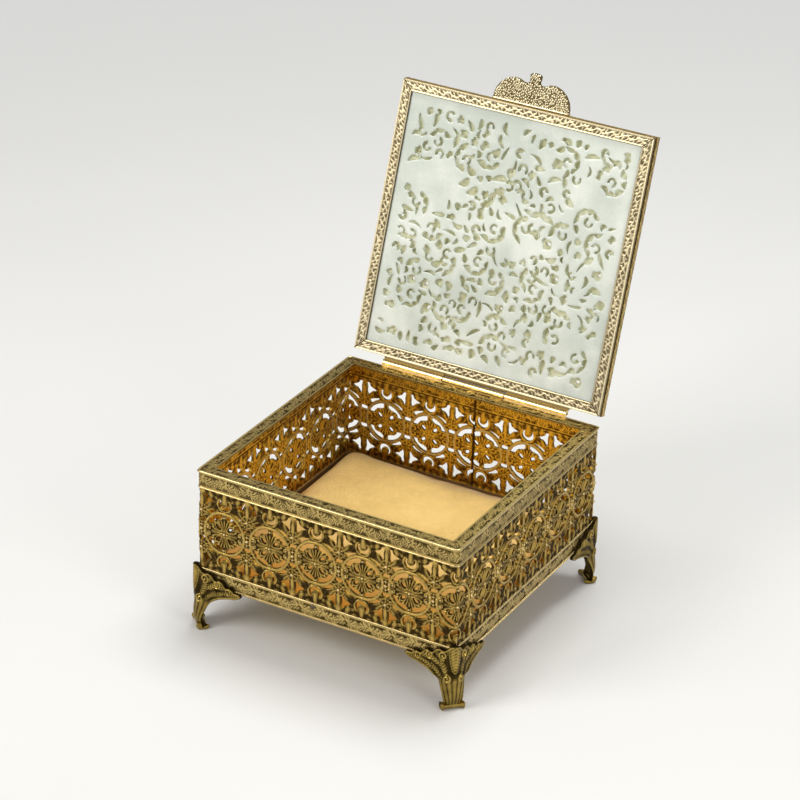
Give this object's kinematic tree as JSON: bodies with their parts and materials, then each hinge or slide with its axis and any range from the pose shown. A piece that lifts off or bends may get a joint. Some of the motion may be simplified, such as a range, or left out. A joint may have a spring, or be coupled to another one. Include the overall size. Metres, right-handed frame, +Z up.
{
  "type": "keepsake box",
  "caption": "Square pierced brass keepsake box on corner feet, with a velvet pad and a hinged lid framing a carved jade plaque.",
  "frame": {"origin": "middle of the base pan's flat underside, level with the casing's lower edge, 21.7 mm over the floor", "axes": "+X to the right as seen from the thumb-piece's side, +Y to the hinge at the back, +Z up"},
  "size_m": [0.1356, 0.1811, 0.2122],
  "materials": {
    "wall_brass": "satin",
    "rim_brass": "satin",
    "base_brass": "satin",
    "foot_brass": "satin",
    "frame_brass": "satin",
    "bezel_brass": "satin",
    "hinge_brass": "polished",
    "pin_metal": "satin",
    "screw_metal": "satin",
    "jade": "polished",
    "velvet": "matte",
    "card": "matte"
  },
  "bodies": {
    "body": {"wall_front": "wall_brass", "wall_right": "wall_brass", "wall_back": "wall_brass", "wall_left": "wall_brass", "top_rim": "rim_brass", "base_pan": "base_brass", "base_screws": "screw_metal", "pad_board": "card", "velvet_pad": "velvet", "foot_front_right": "foot_brass", "foot_front_left": "foot_brass", "foot_back_right": "foot_brass", "foot_back_left": "foot_brass", "hinge_body_leaf": "hinge_brass"},
    "lid": {"lid_frame_back": "frame_brass", "lid_frame_right": "frame_brass", "lid_frame_front": "frame_brass", "lid_frame_left": "frame_brass", "lid_bezel_back": "bezel_brass", "lid_bezel_right": "bezel_brass", "lid_bezel_front": "bezel_brass", "lid_bezel_left": "bezel_brass", "jade_plaque": "jade", "thumb_piece": "foot_brass", "hinge_lid_leaf": "hinge_brass", "hinge_pin": "pin_metal"}
  },
  "joints": [
    {"name": "lid_hinge", "type": "hinge", "parent": "body", "child": "lid", "pos_m": [0, 0.0649, 0.056], "axis": [1, 0, 0], "range_deg": [0, 108.4]}
  ]
}
